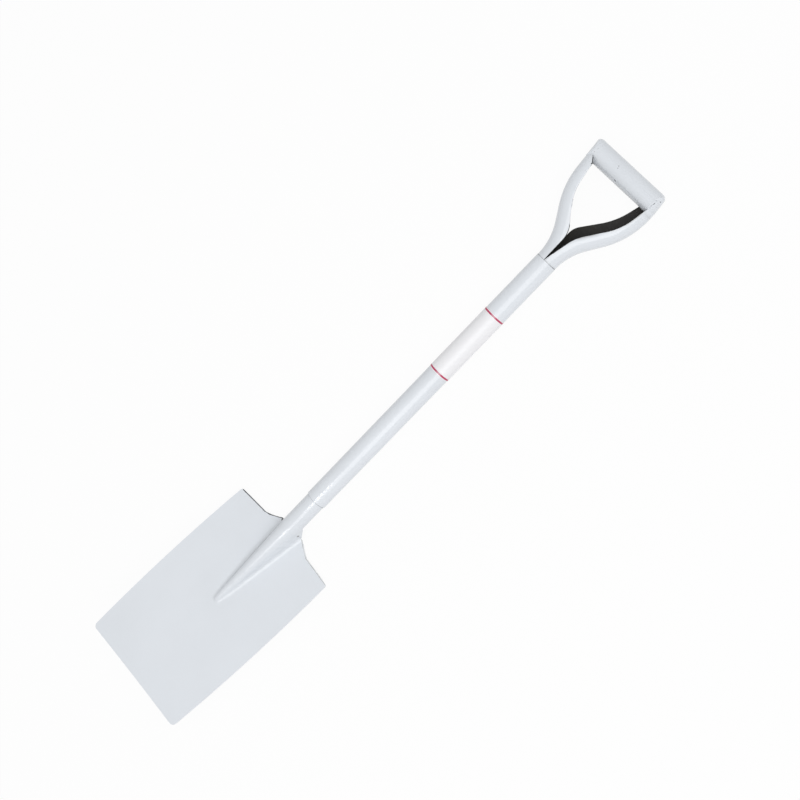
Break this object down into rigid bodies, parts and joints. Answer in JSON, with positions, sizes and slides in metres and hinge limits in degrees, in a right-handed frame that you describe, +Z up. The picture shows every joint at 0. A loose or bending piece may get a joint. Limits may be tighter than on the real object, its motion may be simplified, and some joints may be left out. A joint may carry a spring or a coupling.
{
  "type": "square mouth shovel",
  "caption": "All-steel digging shovel: a square pressed blade with a raised rib and rolled neck, a tube shaft, and a two-armed D handle with a tube grip.",
  "frame": {"origin": "middle of the blade's cutting edge", "axes": "+Y from the cutting edge towards the handle along the shaft, +Z up out of the blade's front face, +X to the right seen from the front with the handle up"},
  "size_m": [0.1956, 0.986, 0.0752],
  "materials": {
    "enamel": "white gloss enamel over steel",
    "sticker": "glossy white film with a thin red ring at each end"
  },
  "bodies": {
    "root": {"blade": "enamel", "shaft": "enamel", "fork_arm_left": "enamel", "fork_arm_right": "enamel", "grip": "enamel", "label": "sticker"}
  },
  "joints": []
}
